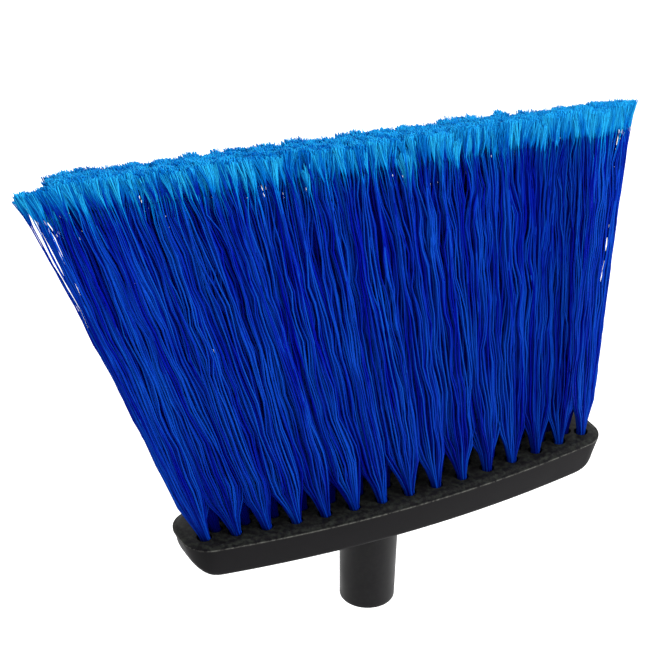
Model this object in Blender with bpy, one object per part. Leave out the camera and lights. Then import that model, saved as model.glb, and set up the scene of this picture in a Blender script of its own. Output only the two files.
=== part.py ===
"""Head of a wide angled floor broom, bristles up, without its handle.

A moulded block carries a fanned bed of filament tufts on its face and a handle socket
on its underside. Lengths are in metres. The origin is the centre of the socket's mouth,
+X runs along the block towards the short bristles, and +Z towards the bristle tips.
"""

import math
import random

import bmesh
import bpy
from mathutils import Matrix, Vector
from mathutils.geometry import delaunay_2d_cdt

# Clearances and overruns
SEAT_GAP = 0.0003            # between a piece and the pocket or hole that holds it
OVERRUN = 0.002              # how far a cutter runs past the face that it cuts

# Tuft bed, on the face of the block
ROW_COUNTS = (15, 14, 13, 14)  # tufts in each row, front row first
TUFT_PITCH = 0.0145          # between neighbours in a row
BED_HALF_DEPTH = 0.016       # from the centre line to the outer rows, at mid length
BED_BOW = 0.0091             # how far the outer rows draw in at their end tufts

# Tuft holes
HOLE_RADIUS = 0.0033
HOLE_DEPTH = 0.0126
HOLE_SIDES = 8
STAPLE_ROOM = 0.0024         # left under a tuft's root for the wire staple that holds it

# Block
END_MARGIN = 0.01            # from the end tufts' centres to the ends of the block
SIDE_MARGIN = 0.0098         # from the outer rows to the long sides
PLAN_RADIUS = 0.0134         # corners, seen from above
WALL_DRAFT = 0.0033          # how far the walls draw in towards the underside
END_RADIUS = 0.0128          # lower corners, seen from the front
LOWER_EDGE_RADIUS = 0.0031
LEDGE_WIDTH = 0.0026         # the low rim around the raised face
FACE_RISE = 0.0011           # height of the raised face over the rim
FACE_EDGE_RADIUS = 0.0008
RIM_EDGE_RADIUS = 0.0005
HOLE_FLOOR = 0.0021          # plastic between the tuft holes and the socket's pocket
SIDE_STEPS = 18
CORNER_STEPS = 6
ROUND_STEPS = 3

# Handle socket
BORE_RADIUS = 0.0096         # clears a 3/4 inch broom thread
BORE_DEPTH = 0.034
BORE_CHAMFER = 0.0006
SOCKET_ROOF = 0.0119         # plastic between the bore and the block
SOCKET_WALL = 0.00375        # at the mouth
SOCKET_TAPER = 0.00075       # how much the outer radius grows towards the block
SOCKET_FILLET = 0.002        # where the socket meets the underside
MOUTH_RADIUS = 0.001         # rounded outer edge of the mouth
SPIGOT_SHOULDER = 0.0026     # step from the socket's side in to its spigot
SPIGOT_HEIGHT = 0.0046
SOCKET_OFFSET = 0.0125       # from the socket's axis to the middle of the block
SOCKET_SIDES = 32

# Bristles
LONG_LENGTH = 0.19           # bristles at the -X end, from the face to the trim
SHORT_LENGTH = 0.1703        # bristles at the +X end
FAN_OPENING = 0.00506        # how much further apart neighbours are at the trim
TIP_SHIFT = 0.0315           # how far the fan as a whole leans towards -X
TRIM_CLOSING = 0.008         # how far the outer rows draw in from the face to the trim
TRIM_STRAIGHTENING = 0.0071  # how much less the outer rows bow at the trim
TRIM_SCATTER = 0.0012        # uneven ends of the flagged tips
ROOT_STAND = 0.0006          # how far a tuft's root stands out of its hole
STRANDS_IN_RING = 6
STRAND_SIDES = 3
RING_SHARE = 0.64            # ring of strands on the root, as a share of the root's radius
ROOT_STRAND_SHARE = 0.27     # strand on the root, as a share of the root's radius
SPREAD_SHARE = 0.325         # ring of strands at the trim, as a share of the tufts' spacing
STRAND_SHARE = 0.185         # strand at the trim, as a share of the tufts' spacing
KNEE_SHARE = 0.2             # height at which a tuft has opened out
KNEE_SPREAD_SHARE = 0.85     # how far it has opened there
SEED = 11

# Sizes that follow from the ones above
END_COLUMN = (ROW_COUNTS[0] - 1) / 2
BED_HALF_LENGTH = END_COLUMN * TUFT_PITCH
BLOCK_HALF_LENGTH = BED_HALF_LENGTH + END_MARGIN
BLOCK_HALF_DEPTH = BED_HALF_DEPTH + SIDE_MARGIN
POCKET_DEPTH = SPIGOT_HEIGHT + SEAT_GAP
BLOCK_THICKNESS = HOLE_DEPTH + HOLE_FLOOR + POCKET_DEPTH
SOCKET_LENGTH = BORE_DEPTH + SOCKET_ROOF
FACE_HEIGHT = SOCKET_LENGTH + BLOCK_THICKNESS
TIP_PITCH = TUFT_PITCH + FAN_OPENING
TIP_HALF_DEPTH = BED_HALF_DEPTH - TRIM_CLOSING
TIP_BOW = BED_BOW - TRIM_STRAIGHTENING
ROOT_RADIUS = HOLE_RADIUS - SEAT_GAP / math.cos(math.pi / HOLE_SIDES)
STRAND_TURN = math.pi / STRAND_SIDES  # turns the strands so that their flats face each other
SOCKET_MOUTH_RADIUS = BORE_RADIUS + SOCKET_WALL
SOCKET_ROOT_RADIUS = SOCKET_MOUTH_RADIUS + SOCKET_TAPER
SPIGOT_RADIUS = SOCKET_ROOT_RADIUS - SPIGOT_SHOULDER

# Colours as linear RGB, with roughness
BLACK_PLASTIC = ((0.022, 0.022, 0.024), 0.55, 0.0)
BLUE_FILAMENT = ((0.004, 0.035, 0.34), 0.4, 0.0)


def clear_scene():
    """Remove every object of the scene."""
    for scene_object in list(bpy.data.objects):
        bpy.data.objects.remove(scene_object, do_unlink=True)


def make_material(name, finish):
    """Make a Principled material from a colour, a roughness and a metallic value."""
    colour, roughness, metallic = finish
    material = bpy.data.materials.new(name)
    material.use_nodes = True
    shader = material.node_tree.nodes["Principled BSDF"]
    shader.inputs["Base Color"].default_value = (*colour, 1.0)
    shader.inputs["Roughness"].default_value = roughness
    shader.inputs["Metallic"].default_value = metallic
    material.diffuse_color = (*colour, 1.0)
    return material


def make_object(name, mesh_builder, material, location=(0.0, 0.0, 0.0)):
    """Turn a bmesh into a named object with outward faces."""
    bmesh.ops.recalc_face_normals(mesh_builder, faces=mesh_builder.faces[:])
    mesh = bpy.data.meshes.new(name)
    mesh_builder.to_mesh(mesh)
    mesh_builder.free()
    if material:
        mesh.materials.append(material)
    new_object = bpy.data.objects.new(name, mesh)
    new_object.location = location
    bpy.context.scene.collection.objects.link(new_object)
    return new_object


def add_ring(mesh_builder, points):
    """Add one closed ring of vertices."""
    return [mesh_builder.verts.new(point) for point in points]


def bridge_rings(mesh_builder, lower, upper):
    """Join two rings of equal count with a band of quads."""
    count = len(lower)
    for index in range(count):
        following = (index + 1) % count
        corners = (lower[index], lower[following], upper[following], upper[index])
        mesh_builder.faces.new(corners)


def circle_points(radius, sides, height, start=0.0):
    """Points of a regular polygon round the Z axis."""
    points = []
    for side in range(sides):
        angle = start + math.tau * side / sides
        points.append(Vector((radius * math.cos(angle), radius * math.sin(angle), height)))
    return points


def add_prism(mesh_builder, frame, radius, sides, low, high):
    """Add a closed prism along the Z axis of a frame."""
    lower = add_ring(mesh_builder, [frame @ p for p in circle_points(radius, sides, low)])
    upper = add_ring(mesh_builder, [frame @ p for p in circle_points(radius, sides, high)])
    bridge_rings(mesh_builder, lower, upper)
    mesh_builder.faces.new(lower)
    mesh_builder.faces.new(upper)


def cut(target, cutter_name, mesh_builder):
    """Cut a bmesh out of an object with an exact Boolean."""
    cutter = make_object(cutter_name, mesh_builder, None)
    cutter.hide_render = True
    cutter.display_type = "WIRE"
    modifier = target.modifiers.new(cutter_name, "BOOLEAN")
    modifier.operation = "DIFFERENCE"
    modifier.solver = "EXACT"
    modifier.object = cutter


# The bed: columns are counted in pitches from the middle, rows run from -1 to 1

def bed_point(column, row, share):
    """Place in plan of a bristle, from the face (share 0) to the trim (share 1)."""
    bow = (column / END_COLUMN) ** 2
    face_x = column * TUFT_PITCH
    face_y = row * (BED_HALF_DEPTH - BED_BOW * bow)
    trim_x = column * TIP_PITCH - TIP_SHIFT
    trim_y = row * (TIP_HALF_DEPTH - TIP_BOW * bow)
    x = face_x + share * (trim_x - face_x)
    y = face_y + share * (trim_y - face_y)
    return SOCKET_OFFSET + x, y


def trim_length(column):
    """Bristle length over the face, which falls from the -X end to the +X end."""
    share = (column + END_COLUMN) / (2 * END_COLUMN)
    return LONG_LENGTH + share * (SHORT_LENGTH - LONG_LENGTH)


def bristle_point(column, row, share, length):
    """Place of a bristle at a share of its length."""
    x, y = bed_point(column, row, share)
    return Vector((x, y, FACE_HEIGHT + share * length))


def tuft_places():
    """Name, column and row of every tuft, staggered from row to row."""
    places = []
    last_row = len(ROW_COUNTS) - 1
    for row_index, count in enumerate(ROW_COUNTS):
        row = 2 * row_index / last_row - 1
        for column_index in range(count):
            column = column_index - (count - 1) / 2
            name = f"tuft_{row_index + 1}_{column_index + 1:02d}"
            places.append((name, column, row))
    return places


def tuft_frame(column, row):
    """Frame at a tuft's place on the face, with Z along the tuft and so along its hole."""
    foot = bristle_point(column, row, 0.0, 0.0)
    tip = bristle_point(column, row, 1.0, trim_length(column))
    turn = Vector((0.0, 0.0, 1.0)).rotation_difference(tip - foot)
    return Matrix.Translation(foot) @ turn.to_matrix().to_4x4()


# The block

def side_half_depth(x):
    """Half depth of the block at a distance from its middle, before the corners."""
    return BLOCK_HALF_DEPTH - BED_BOW * (x / BED_HALF_LENGTH) ** 2


def half_outline(inset):
    """Back half of the block's outline, from the -X end to the +X end, drawn in by an inset."""
    corner_x = BLOCK_HALF_LENGTH - PLAN_RADIUS
    radius = PLAN_RADIUS - inset
    slope = -2 * BED_BOW * corner_x / BED_HALF_LENGTH ** 2
    start_angle = math.pi / 2 + math.atan(slope)
    corner_y = side_half_depth(corner_x) - PLAN_RADIUS
    right = []
    for step in range(SIDE_STEPS // 2):
        x = corner_x * step / (SIDE_STEPS // 2)
        lean = math.atan(-2 * BED_BOW * x / BED_HALF_LENGTH ** 2)
        y = side_half_depth(x) - PLAN_RADIUS
        right.append((x - radius * math.sin(lean), y + radius * math.cos(lean)))
    for step in range(CORNER_STEPS + 1):
        angle = start_angle * (1 - step / CORNER_STEPS)
        right.append((corner_x + radius * math.cos(angle), corner_y + radius * math.sin(angle)))
    left = [(-x, y) for x, y in reversed(right[1:])]
    return left + right


def underside_lift(x):
    """How far the underside has risen at a distance from the block's middle."""
    flat_half_length = BLOCK_HALF_LENGTH - WALL_DRAFT - END_RADIUS
    past = min(max(abs(x) - flat_half_length, 0.0), END_RADIUS)
    return END_RADIUS - math.sqrt(END_RADIUS ** 2 - past ** 2)


def block_ring(mesh_builder, inset, height, follows_underside):
    """Add a ring of the block, drawn in from its drafted walls by an inset.

    A height is over the underside, or under the face if negative.
    """
    back = []
    for low, high in zip(half_outline(WALL_DRAFT + inset), half_outline(inset)):
        lift = underside_lift(low[0]) if follows_underside else BLOCK_THICKNESS
        share = lift / BLOCK_THICKNESS
        x = low[0] + share * (high[0] - low[0])
        y = low[1] + share * (high[1] - low[1])
        back.append(Vector((SOCKET_OFFSET + x, y, SOCKET_LENGTH + lift + height)))
    front = [point * Vector((1.0, -1.0, 1.0)) for point in reversed(back)]
    return add_ring(mesh_builder, back + front)


def close_underside(mesh_builder, ring):
    """Close the lowest ring with strips that run across the block."""
    half = len(ring) // 2
    back = ring[:half]
    front = ring[:half - 1:-1]
    for index in range(half - 1):
        corners = (back[index], back[index + 1], front[index + 1], front[index])
        mesh_builder.faces.new(corners)


def build_block(material):
    """Block with its raised face, rim, drafted walls and rounded lower ends."""
    mesh_builder = bmesh.new()
    rings = []
    for step in range(ROUND_STEPS + 1):
        angle = math.pi / 2 * step / ROUND_STEPS
        inset = LOWER_EDGE_RADIUS * (1 - math.sin(angle))
        height = LOWER_EDGE_RADIUS * (1 - math.cos(angle))
        rings.append(block_ring(mesh_builder, inset, height, True))
    rings.append(block_ring(mesh_builder, 0.0, -FACE_RISE - RIM_EDGE_RADIUS, False))
    rings.append(block_ring(mesh_builder, RIM_EDGE_RADIUS, -FACE_RISE, False))
    rings.append(block_ring(mesh_builder, LEDGE_WIDTH, -FACE_RISE, False))
    for step in range(ROUND_STEPS):
        angle = math.pi / 2 * step / (ROUND_STEPS - 1)
        inset = LEDGE_WIDTH + FACE_EDGE_RADIUS * (1 - math.cos(angle))
        height = -FACE_EDGE_RADIUS * (1 - math.sin(angle))
        rings.append(block_ring(mesh_builder, inset, height, False))
    for lower, upper in zip(rings, rings[1:]):
        bridge_rings(mesh_builder, lower, upper)
    close_underside(mesh_builder, rings[0])
    mesh_builder.faces.new(rings[-1])
    block = make_object("block", mesh_builder, material)
    cut(block, "tuft_hole_cutter", tuft_hole_cutter())
    cut(block, "pocket_cutter", pocket_cutter())
    return block


def tuft_hole_cutter():
    """One prism for each tuft hole, leaning as its tuft does."""
    mesh_builder = bmesh.new()
    for _, column, row in tuft_places():
        frame = tuft_frame(column, row)
        add_prism(mesh_builder, frame, HOLE_RADIUS, HOLE_SIDES, -HOLE_DEPTH, OVERRUN)
    return mesh_builder


def pocket_cutter():
    """Pocket in the underside for the socket's spigot."""
    mesh_builder = bmesh.new()
    frame = Matrix.Translation((0.0, 0.0, SOCKET_LENGTH))
    radius = SPIGOT_RADIUS + SEAT_GAP / math.cos(math.pi / SOCKET_SIDES)
    add_prism(mesh_builder, frame, radius, SOCKET_SIDES, -OVERRUN, POCKET_DEPTH)
    return mesh_builder


# The handle socket

def socket_profile():
    """Radius and height from the spigot's top, down the outside and up the bore."""
    shoulder = SOCKET_LENGTH - SEAT_GAP
    profile = [(SPIGOT_RADIUS, SOCKET_LENGTH + SPIGOT_HEIGHT), (SPIGOT_RADIUS, shoulder)]
    for step in range(ROUND_STEPS + 1):
        angle = math.pi / 2 * step / ROUND_STEPS
        radius = SOCKET_ROOT_RADIUS + SOCKET_FILLET * (1 - math.sin(angle))
        profile.append((radius, shoulder - SOCKET_FILLET * (1 - math.cos(angle))))
    for step in range(ROUND_STEPS + 1):
        angle = math.pi / 2 * step / ROUND_STEPS
        radius = SOCKET_MOUTH_RADIUS - MOUTH_RADIUS * (1 - math.cos(angle))
        profile.append((radius, MOUTH_RADIUS * (1 - math.sin(angle))))
    profile.append((BORE_RADIUS + BORE_CHAMFER, 0.0))
    profile.append((BORE_RADIUS, BORE_CHAMFER))
    profile.append((BORE_RADIUS, BORE_DEPTH))
    return profile


def build_socket(material):
    """Handle socket, turned from its profile, with a blind bore."""
    mesh_builder = bmesh.new()
    rings = []
    for radius, height in socket_profile():
        rings.append(add_ring(mesh_builder, circle_points(radius, SOCKET_SIDES, height)))
    for outer, inner in zip(rings, rings[1:]):
        bridge_rings(mesh_builder, outer, inner)
    mesh_builder.faces.new(rings[0])
    mesh_builder.faces.new(rings[-1])
    socket = make_object("handle_socket", mesh_builder, material)
    socket.data.shade_smooth()
    socket.data.set_sharp_from_angle(angle=math.radians(40))
    return socket


# The tufts

def strand_offsets():
    """Strands of a tuft: one in the middle and a ring round it, as unit offsets."""
    offsets = [(0.0, 0.0)]
    for index in range(STRANDS_IN_RING):
        angle = math.tau * index / STRANDS_IN_RING
        offsets.append((math.cos(angle), math.sin(angle)))
    return offsets


def foot_points(centre):
    """Foot of a strand on the root's flat top."""
    radius = ROOT_STRAND_SHARE * ROOT_RADIUS
    return [centre + p for p in circle_points(radius, STRAND_SIDES, 0.0, STRAND_TURN)]


def grow_strand(mesh_builder, foot, column, row, offset, scatter, origin):
    """Grow a strand from its foot on the root, through its knee, to its trimmed end.

    The strand and its place in the tuft open out in step with the bed, so none can cross.
    """
    row_step = 2 / (len(ROW_COUNTS) - 1)
    length = trim_length(column + SPREAD_SHARE * offset[0]) + scatter
    below = foot
    for share, opened in ((KNEE_SHARE, KNEE_SPREAD_SHARE), (1.0, 1.0)):
        points = []
        for corner in circle_points(STRAND_SHARE, STRAND_SIDES, 0.0, STRAND_TURN):
            strand_column = column + opened * (SPREAD_SHARE * offset[0] + corner.x)
            strand_row = row + opened * (SPREAD_SHARE * offset[1] + corner.y) * row_step
            points.append(bristle_point(strand_column, strand_row, share, length) - origin)
        above = add_ring(mesh_builder, points)
        bridge_rings(mesh_builder, below, above)
        below = above
    mesh_builder.faces.new(below)


def root_top():
    """Points of a root's flat top, its rim first and then each strand's foot, and its triangles."""
    rim = circle_points(ROOT_RADIUS, HOLE_SIDES, ROOT_STAND)
    points = list(rim)
    edges = [(index, (index + 1) % HOLE_SIDES) for index in range(HOLE_SIDES)]
    for offset in strand_offsets():
        centre = Vector((*offset, 0.0)) * RING_SHARE * ROOT_RADIUS
        centre.z = ROOT_STAND
        first = len(points)
        points += foot_points(centre)
        for index in range(STRAND_SIDES):
            edges.append((first + index, first + (index + 1) % STRAND_SIDES))
    tolerance = SEAT_GAP / 1000
    triangles = delaunay_2d_cdt([p.to_2d() for p in points], edges, [], 0, tolerance)[2]
    return points, [t for t in triangles if not is_strand_foot(t)]


def is_strand_foot(triangle):
    """Whether a triangle of the root's top is the foot of one strand."""
    strands = {(index - HOLE_SIDES) // STRAND_SIDES for index in triangle}
    return min(triangle) >= HOLE_SIDES and len(strands) == 1


def build_tuft(name, column, row, top, material, chance):
    """A tuft: a root that fills its hole, and strands that open out above it."""
    mesh_builder = bmesh.new()
    frame = tuft_frame(column, row)
    origin = frame.to_translation()
    turn = frame.to_3x3()
    floor_points = circle_points(ROOT_RADIUS, HOLE_SIDES, STAPLE_ROOM - HOLE_DEPTH)
    floor = add_ring(mesh_builder, [turn @ point for point in floor_points])
    top_points, top_triangles = top
    upper = add_ring(mesh_builder, [turn @ point for point in top_points])
    bridge_rings(mesh_builder, floor, upper[:HOLE_SIDES])
    mesh_builder.faces.new(floor)
    for triangle in top_triangles:
        mesh_builder.faces.new([upper[index] for index in triangle])
    for index, offset in enumerate(strand_offsets()):
        first = HOLE_SIDES + index * STRAND_SIDES
        foot = upper[first:first + STRAND_SIDES]
        scatter = chance.uniform(-TRIM_SCATTER, TRIM_SCATTER)
        grow_strand(mesh_builder, foot, column, row, offset, scatter, origin)
    return make_object(name, mesh_builder, material, origin)


def main():
    """Build the broom head."""
    clear_scene()
    chance = random.Random(SEED)
    filament = make_material("filament", BLUE_FILAMENT)
    build_block(make_material("block_plastic", BLACK_PLASTIC))
    build_socket(make_material("socket_plastic", BLACK_PLASTIC))
    top = root_top()
    for name, column, row in tuft_places():
        build_tuft(name, column, row, top, filament, chance)


main()
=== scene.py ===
"""Head of a wide angled floor broom, dressed for a render.

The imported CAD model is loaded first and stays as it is. Each sub-assembly is a class that
builds its own pieces over the CAD nodes that they stand for: the moulded block, the handle
socket with its thread, the wire staples and the crimped filaments with flagged ends.
Lengths are in metres, in the CAD model's frame.
"""

import logging
import math
from collections.abc import Callable, Iterable, Mapping, Sequence
from dataclasses import dataclass
from enum import Enum
from functools import partial
from typing import Any

import bmesh
import bpy
from mathutils import Matrix, Vector


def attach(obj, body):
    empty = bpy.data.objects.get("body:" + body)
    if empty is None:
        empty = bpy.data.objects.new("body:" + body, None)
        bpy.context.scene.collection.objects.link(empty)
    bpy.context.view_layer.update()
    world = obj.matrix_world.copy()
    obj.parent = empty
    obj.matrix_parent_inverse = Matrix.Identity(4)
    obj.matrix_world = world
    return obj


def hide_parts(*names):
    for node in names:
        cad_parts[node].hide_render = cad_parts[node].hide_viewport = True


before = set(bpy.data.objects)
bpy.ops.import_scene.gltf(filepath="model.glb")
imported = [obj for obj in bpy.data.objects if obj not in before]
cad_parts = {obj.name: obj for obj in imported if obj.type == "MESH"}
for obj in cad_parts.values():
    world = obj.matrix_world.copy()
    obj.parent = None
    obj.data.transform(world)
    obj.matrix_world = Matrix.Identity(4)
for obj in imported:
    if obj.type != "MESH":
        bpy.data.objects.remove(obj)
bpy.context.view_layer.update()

BODY = "root"
MM = 0.001
UP = Vector((0.0, 0.0, 1.0))
WHITE = (1.0, 1.0, 1.0, 1.0)
MATH = "ShaderNodeMath"
VECTOR_MATH = "ShaderNodeVectorMath"
SOCKETS = {
    int: "NodeSocketInt",
    float: "NodeSocketFloat",
    tuple: "NodeSocketVector",
    bpy.types.Material: "NodeSocketMaterial",
}

log = logging.getLogger("broom_head")


class Slot(Enum):
    """Material slots of the record."""

    BLOCK = "block_plastic"
    FILAMENT = "filament"
    STAPLE = "staple_wire"


class Kind(Enum):
    """Kinds of node that recur, each with its type and its settings."""

    PLUS = (MATH, {"operation": "ADD"})
    MINUS = (MATH, {"operation": "SUBTRACT"})
    TIMES = (MATH, {"operation": "MULTIPLY"})
    TIMES_PLUS = (MATH, {"operation": "MULTIPLY_ADD"})
    OVER = (MATH, {"operation": "DIVIDE"})
    POWER = (MATH, {"operation": "POWER"})
    ROOT = (MATH, {"operation": "SQRT"})
    SINE = (MATH, {"operation": "SINE"})
    COSINE = (MATH, {"operation": "COSINE"})
    SIZE = (MATH, {"operation": "ABSOLUTE"})
    LARGEST = (MATH, {"operation": "MAXIMUM"})
    MOVED = (VECTOR_MATH, {"operation": "ADD"})
    FROM = (VECTOR_MATH, {"operation": "SUBTRACT"})
    SHAPED = (VECTOR_MATH, {"operation": "MULTIPLY"})
    SCALED = (VECTOR_MATH, {"operation": "SCALE"})
    XYZ = ("ShaderNodeCombineXYZ", {})
    SPLIT = ("ShaderNodeSeparateXYZ", {})
    RANGE = ("ShaderNodeMapRange", {})
    EASED = ("ShaderNodeMapRange", {"interpolation_type": "SMOOTHSTEP"})
    MIX = ("ShaderNodeMix", {})
    TINT = ("ShaderNodeMix", {"data_type": "RGBA"})
    RAMP = ("ShaderNodeValToRGB", {})
    NOISE = ("ShaderNodeTexNoise", {})
    READ = ("GeometryNodeInputNamedAttribute", {"data_type": "FLOAT"})
    STORE = ("GeometryNodeStoreNamedAttribute", {"data_type": "FLOAT"})
    FACTOR = ("GeometryNodeSplineParameter", {})
    SWEEP = ("GeometryNodeCurveToMesh", {})


class Draw(Enum):
    """Shifts of the seed, which keep the random draws apart."""

    CHANCE = 1.0
    TIP = 4001.0
    HABIT = 5003.0
    HAIR_TONE = 7001.0
    FLARE = 9001.0


def linear_from_hex(code: str) -> tuple[float, float, float, float]:
    """Turn an sRGB hex colour into linear light.

    Args:
        code: Six hex digits, such as "2a2a2c".

    Returns:
        Linear red, green and blue, with an alpha of 1.
    """
    channels = []
    for start in (0, 2, 4):
        value = int(code[start:start + 2], 16) / 255
        channels.append(value / 12.92 if value <= 0.04045 else ((value + 0.055) / 1.055) ** 2.4)
    return (channels[0], channels[1], channels[2], 1.0)


def fill(node: bpy.types.Node, inputs: Mapping[str | int, Any]) -> None:
    """Link or set the inputs of a node.

    Args:
        node: Node to fill.
        inputs: Values by name or place. A node stands for its first output, a socket is
            linked, None is skipped, and anything else is set.
    """
    for key, value in inputs.items():
        source = value.outputs[0] if isinstance(value, bpy.types.Node) else value
        if isinstance(source, bpy.types.NodeSocket):
            node.id_data.links.new(source, node.inputs[key])
        elif source is not None:
            node.inputs[key].default_value = source


def add_node(
    tree: bpy.types.NodeTree,
    kind: Kind | str,
    *inputs: Any,
    stops: Sequence[tuple[float, str]] = (),
    **settings: Any,
) -> bpy.types.Node:
    """Add a node with its settings, and fill its inputs.

    Args:
        tree: Tree that gets the node.
        kind: Kind of node, or its type.
        *inputs: Its inputs in order, or one mapping of them, as fill takes it.
        stops: Position and sRGB hex colour of each stop, for a ramp.
        **settings: Its properties, besides those of its kind.

    Returns:
        The new node.
    """
    type_name, usual = kind.value if isinstance(kind, Kind) else (kind, {})
    node = tree.nodes.new(type_name)
    for name, value in {**usual, **settings}.items():
        setattr(node, name, value)
    if stops:
        elements = node.color_ramp.elements
        while len(elements) < len(stops):
            elements.new(1.0)
        for element, (position, code) in zip(elements, stops):
            element.position = position
            element.color = linear_from_hex(code)
    by_name = inputs and isinstance(inputs[0], Mapping)
    fill(node, inputs[0] if by_name else dict(enumerate(inputs)))
    return node


def start_material(
    name: str,
) -> tuple[Callable[..., bpy.types.Node], bpy.types.Node, bpy.types.Material]:
    """Start a material.

    Args:
        name: Name of the material.

    Returns:
        What adds a node to it, its shader, and the material.
    """
    material = bpy.data.materials.new(name)
    material.use_nodes = True
    tree = material.node_tree
    return partial(add_node, tree), tree.nodes["Principled BSDF"], material


def new_object(name: str, data: bpy.types.ID) -> bpy.types.Object:
    """Make an object of a mesh, lamp or camera and put it in the scene.

    Args:
        name: Name of the object.
        data: Its mesh, lamp or camera.

    Returns:
        The new object.
    """
    made = bpy.data.objects.new(name, data)
    bpy.context.scene.collection.objects.link(made)
    return made


def place_piece(
    name: str, mesh: bpy.types.Mesh, slot: Slot, nodes: Iterable[str] = ()
) -> bpy.types.Object:
    """Make an object of a finished mesh and tie it to the CAD frame.

    Args:
        name: Name of the piece.
        mesh: Mesh in the CAD frame, with its material.
        slot: Material slot of the record that its finish belongs to. Not used.
        nodes: CAD nodes that it stands for.

    Returns:
        The new object.
    """
    mesh.name = name
    piece = new_object(name, mesh)
    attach(piece, BODY)
    if nodes:
        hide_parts(*nodes)
    log.info("%s: %d faces", name, len(mesh.polygons))
    return piece


def apply_modifier(holder: bpy.types.Object, modifier: bpy.types.Modifier) -> bpy.types.Mesh:
    """Turn a working object with one modifier into a plain mesh.

    Args:
        holder: Object, which is removed with its own mesh.
        modifier: Its modifier.

    Returns:
        The finished mesh.
    """
    start = holder.data
    depsgraph = bpy.context.evaluated_depsgraph_get()
    mesh = bpy.data.meshes.new_from_object(
        holder.evaluated_get(depsgraph), preserve_all_data_layers=True, depsgraph=depsgraph
    )
    holder.modifiers.remove(modifier)
    bpy.data.objects.remove(holder, do_unlink=True)
    bpy.data.meshes.remove(start)
    return mesh


def quarter_round(steps: int) -> list[tuple[float, float]]:
    """Go round a quarter of a circle.

    Args:
        steps: Number of steps.

    Returns:
        For each corner, what has come of the radius the one way and is left the other way.
    """
    angles = [math.pi / 2 * step / steps for step in range(steps + 1)]
    return [(1 - math.cos(angle), 1 - math.sin(angle)) for angle in angles]


def bridge(builder: bmesh.types.BMesh, loops: Sequence[Sequence[bmesh.types.BMVert]]) -> None:
    """Join each closed loop to the next with faces.

    Args:
        builder: Mesh that gets the faces.
        loops: Loops of as many vertices each.
    """
    for lower, upper in zip(loops, loops[1:]):
        for index in range(len(lower)):
            other = (index + 1) % len(lower)
            builder.faces.new((lower[index], lower[other], upper[other], upper[index]))


def turn_profile(
    builder: bmesh.types.BMesh,
    profile: Sequence[tuple[float, float]],
    sides: int,
    place: Matrix = Matrix(),
) -> list[list[bmesh.types.BMVert]]:
    """Turn a profile about Z and close its ends.

    Args:
        builder: Mesh that gets the form.
        profile: Radius and height of each corner.
        sides: Number of sides.
        place: Frame that the form stands in.

    Returns:
        The loops of vertices.
    """
    turns = [math.tau * side / sides for side in range(sides)]
    loops = [
        [
            builder.verts.new(
                place @ Vector((radius * math.cos(turn), radius * math.sin(turn), height))
            )
            for turn in turns
        ]
        for radius, height in profile
    ]
    bridge(builder, loops)
    builder.faces.new(loops[0])
    builder.faces.new(loops[-1])
    return loops


def finish_mesh(name: str, builder: bmesh.types.BMesh) -> bpy.types.Mesh:
    """Turn a closed form into a mesh whose faces point outwards.

    Args:
        name: Name of the mesh.
        builder: Form, which is used up.

    Returns:
        The new mesh.
    """
    bmesh.ops.recalc_face_normals(builder, faces=builder.faces[:])
    mesh = bpy.data.meshes.new(name)
    builder.to_mesh(mesh)
    builder.free()
    return mesh


def shade_mesh(mesh: bpy.types.Mesh, finish: bpy.types.Material, sharp: float) -> None:
    """Dress a mesh.

    Args:
        mesh: Mesh to dress.
        finish: Its material.
        sharp: Angle in degrees from which an edge stays sharp.
    """
    mesh.materials.clear()
    mesh.materials.append(finish)
    mesh.shade_smooth()
    mesh.set_sharp_from_angle(angle=math.radians(sharp))


# Finishes


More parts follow.
